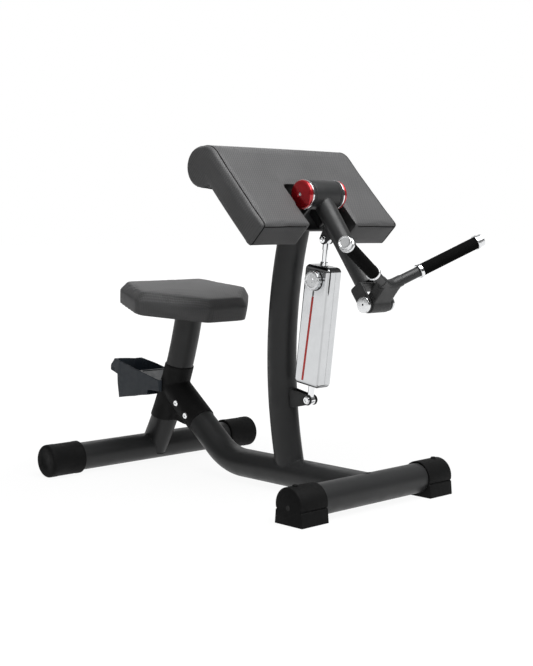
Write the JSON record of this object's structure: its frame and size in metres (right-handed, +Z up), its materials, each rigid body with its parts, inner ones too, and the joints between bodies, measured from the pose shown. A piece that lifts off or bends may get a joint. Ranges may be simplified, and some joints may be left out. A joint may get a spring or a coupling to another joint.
{
  "type": "biceps curl machine",
  "caption": "Seated biceps curl machine with a sloping arm pad, a saddle seat, a damped curling arm with a V handle and a rear tray.",
  "frame": {"origin": "on the floor, under the middle of the outer box at rest", "axes": "+X across the machine, away from the side with the knob; +Y along its length, from the handle towards the seat; +Z up"},
  "size_m": [0.767, 1.1648, 0.9053],
  "materials": {
    "paint": "satin charcoal powder coat",
    "rubber": "matt black",
    "cover_plastic": "matt black",
    "chrome": "polished",
    "steel": "zinc plated",
    "bronze": "plain bearing bronze",
    "vinyl": "grained grey upholstery vinyl",
    "plywood": "black stained plywood",
    "red_cap": "glossy red",
    "tray_plastic": "fine grained",
    "grip": "matt ribbed rubber",
    "aluminium": "turned and polished",
    "casing_plastic": "chrome plated",
    "knob": "chrome plated"
  },
  "bodies": {
    "frame": {"front_base_tube": "paint", "front_foot_left": "rubber", "front_foot_right": "rubber", "rear_base_tube": "paint", "rear_cap_left": "rubber", "rear_cap_right": "rubber", "spine_tube": "paint", "seat_post": "paint", "cover_shell_left": "cover_plastic", "cover_shell_right": "cover_plastic", "cover_screw_lower": "chrome", "cover_screw_upper": "chrome", "column": "paint", "foot_lug": "paint", "foot_bolt": "chrome", "foot_nut": "chrome", "arm_pad": "vinyl", "pad_board": "plywood", "pad_plate": "paint", "pad_bolt_left": "steel", "pad_bolt_right": "steel", "yoke_plate_left": "paint", "yoke_plate_right": "paint", "hub_shaft": "steel", "trim_ring_left": "chrome", "trim_ring_right": "chrome", "hub_cap_left": "red_cap", "hub_cap_right": "red_cap", "cap_screw_left": "steel", "cap_screw_right": "steel", "seat_pad": "vinyl", "seat_board": "plywood", "seat_plate": "paint", "seat_bolt_left": "steel", "seat_bolt_right": "steel", "tray": "tray_plastic"},
    "arm": {"hub_tube": "paint", "hub_bush": "bronze", "arm_tube": "paint", "arm_fork": "paint", "pivot_shaft": "chrome", "pivot_cap": "chrome", "arm_lug_left": "paint", "arm_lug_right": "paint", "lug_bolt": "chrome"},
    "handle": {"handle_hub": "paint", "handle_bar": "paint", "inner_ring_left": "chrome", "inner_ring_right": "chrome", "grip_left": "grip", "grip_right": "grip", "end_cap_left": "aluminium", "end_cap_right": "aluminium"},
    "rod": {"rod_eye": "chrome", "damper_rod": "chrome"},
    "casing": {"damper_cylinder": "steel", "damper_gland": "chrome", "casing_left": "casing_plastic", "casing_right": "casing_plastic"},
    "knob": {"resistance_knob": "knob"}
  },
  "joints": [
    {"name": "arm_swing", "type": "hinge", "parent": "frame", "child": "arm", "pos_m": [0, -0.24463, 0.781], "axis": [-1, 0, 0], "range_deg": [0, 120]},
    {"name": "handle_swivel", "type": "hinge", "parent": "arm", "child": "handle", "pos_m": [0, -0.44036, 0.5116], "axis": [-1, 0, 0], "range_deg": [-60, 30]},
    {"name": "rod_swivel", "type": "hinge", "parent": "arm", "child": "rod", "pos_m": [0, -0.27192, 0.66857], "axis": [1, 0, 0], "range_deg": [0, 123]},
    {"name": "damper_stroke", "type": "slide", "parent": "rod", "child": "casing", "axis": [0, 0.1338, -0.991], "range_m": [0, 0.2]},
    {"name": "knob_turn", "type": "hinge", "parent": "casing", "child": "knob", "pos_m": [-0.0313, -0.25787, 0.56452], "axis": [-1, 0, 0], "range_deg": [0, 300]}
  ],
  "couplings": [
    {"joint": "rod_swivel", "follows": "arm_swing", "ratio": 1.0232},
    {"joint": "damper_stroke", "follows": "arm_swing", "m_per_rad": 0.09494}
  ]
}
